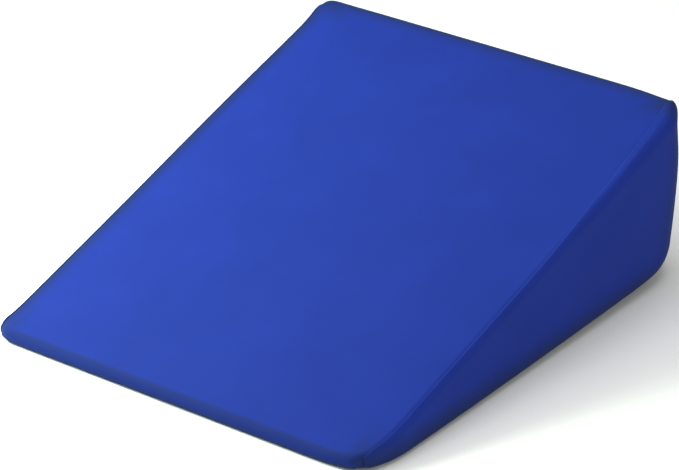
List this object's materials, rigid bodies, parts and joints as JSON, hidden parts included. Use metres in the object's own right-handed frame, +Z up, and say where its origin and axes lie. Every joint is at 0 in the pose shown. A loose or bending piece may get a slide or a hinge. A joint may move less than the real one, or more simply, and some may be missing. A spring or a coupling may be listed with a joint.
{
  "type": "foam incline wedge mat",
  "caption": "Low foam incline wedge in a plain fitted fabric cover, thin rounded toe at the front, square high back closed by a zip.",
  "frame": {"origin": "centre of the footprint, on the surface the wedge stands on; the footprint includes the zip slider, which stands 6.3 mm proud of the back", "axes": "+X across the width, +Y from the thin toe towards the high back, +Z up"},
  "size_m": [0.508, 0.6162, 0.203],
  "materials": {
    "cover_fabric": "matte fine plain weave, royal blue",
    "foam": "open-cell polyurethane foam",
    "zip_tape": "woven polyester tape, matched blue",
    "zip_coil": "satin nylon coil, matched blue",
    "thread": "spun polyester thread, matched blue",
    "slider_metal": "satin blue enamel on die-cast zinc"
  },
  "bodies": {
    "mat": {"foam_core": "foam", "cover_wrap": "cover_fabric", "gusset_left": "cover_fabric", "gusset_right": "cover_fabric", "zip_tape_upper": "zip_tape", "zip_tape_lower": "zip_tape", "zip_coil_upper": "zip_coil", "zip_coil_lower": "zip_coil", "zip_end_tab_left": "cover_fabric", "zip_end_tab_right": "cover_fabric", "zip_topstitch_upper": "thread", "zip_topstitch_lower": "thread"},
    "slider": {"zip_slider": "slider_metal"},
    "pull": {"zip_pull": "slider_metal"}
  },
  "joints": [
    {"name": "zip_travel", "type": "slide", "parent": "mat", "child": "slider", "axis": [-1, 0, 0], "range_m": [0, 0.349]},
    {"name": "pull_swing", "type": "hinge", "parent": "slider", "child": "pull", "pos_m": [0.1745, 0.3059, 0.062], "axis": [0, 0, -1], "range_deg": [0, 175]}
  ]
}
